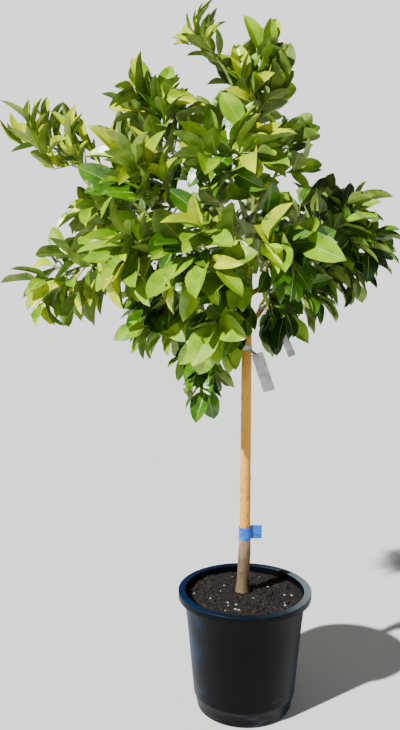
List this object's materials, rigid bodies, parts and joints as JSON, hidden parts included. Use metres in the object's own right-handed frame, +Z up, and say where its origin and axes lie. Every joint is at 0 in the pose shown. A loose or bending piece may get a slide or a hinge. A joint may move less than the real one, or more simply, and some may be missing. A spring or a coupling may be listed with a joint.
{
  "type": "potted persian lime tree",
  "caption": "Young grafted lime tree on one clear stem with an open leafy crown, growing in a round black nursery pot.",
  "frame": {"origin": "middle of the pot's flat underside", "axes": "+Z up along the stem, the pot's front faces -Y and +X is to the plant's right"},
  "size_m": [0.7992, 0.7264, 1.4495],
  "materials": {
    "pot_plastic": "black moulded nursery-pot plastic, satin, with a bright rim",
    "potting_mix": "damp dark bark potting mix with chips, fibres and white grit",
    "bark": "smooth yellow-tan young bark with leaf scars, greener higher up",
    "tape": "stretched blue grafting tape",
    "label": "blank off-white plant label",
    "leaf": "glossy green citrus leaf with a pale midrib and a paler underside"
  },
  "bodies": {
    "root": {"bough_arch": "bark", "bough_back_left": "bark", "bough_back_low": "bark", "bough_back_mid": "bark", "bough_back_right": "bark", "bough_back_upper": "bark", "bough_bottom_centre": "bark", "bough_bottom_left": "bark", "bough_front_left": "bark", "bough_front_low": "bark", "bough_front_mid": "bark", "bough_front_right": "bark", "bough_front_upper": "bark", "bough_leader": "bark", "bough_left_low": "bark", "bough_left_mid": "bark", "bough_low_right": "bark", "bough_right_hanging": "bark", "bough_right_low": "bark", "bough_right_tip": "bark", "bough_right_upper": "bark", "bough_upper_inner": "bark", "bough_upper_left": "bark", "bough_upper_mid": "bark", "bough_upper_right": "bark", "bough_upper_side": "bark", "graft_tape": "tape", "label_on_bough": "label", "label_on_trunk": "label", "leaves_arch": "leaf", "leaves_back_left": "leaf", "leaves_back_low": "leaf", "leaves_back_mid": "leaf", "leaves_back_right": "leaf", "leaves_back_upper": "leaf", "leaves_bottom_centre": "leaf", "leaves_bottom_left": "leaf", "leaves_front_left": "leaf", "leaves_front_low": "leaf", "leaves_front_mid": "leaf", "leaves_front_right": "leaf", "leaves_front_upper": "leaf", "leaves_leader": "leaf", "leaves_left_low": "leaf", "leaves_left_mid": "leaf", "leaves_low_right": "leaf", "leaves_right_hanging": "leaf", "leaves_right_low": "leaf", "leaves_right_tip": "leaf", "leaves_right_upper": "leaf", "leaves_upper_inner": "leaf", "leaves_upper_left": "leaf", "leaves_upper_mid": "leaf", "leaves_upper_right": "leaf", "leaves_upper_side": "leaf", "pot": "pot_plastic", "potting_mix": "potting_mix", "trunk": "bark"}
  },
  "joints": []
}
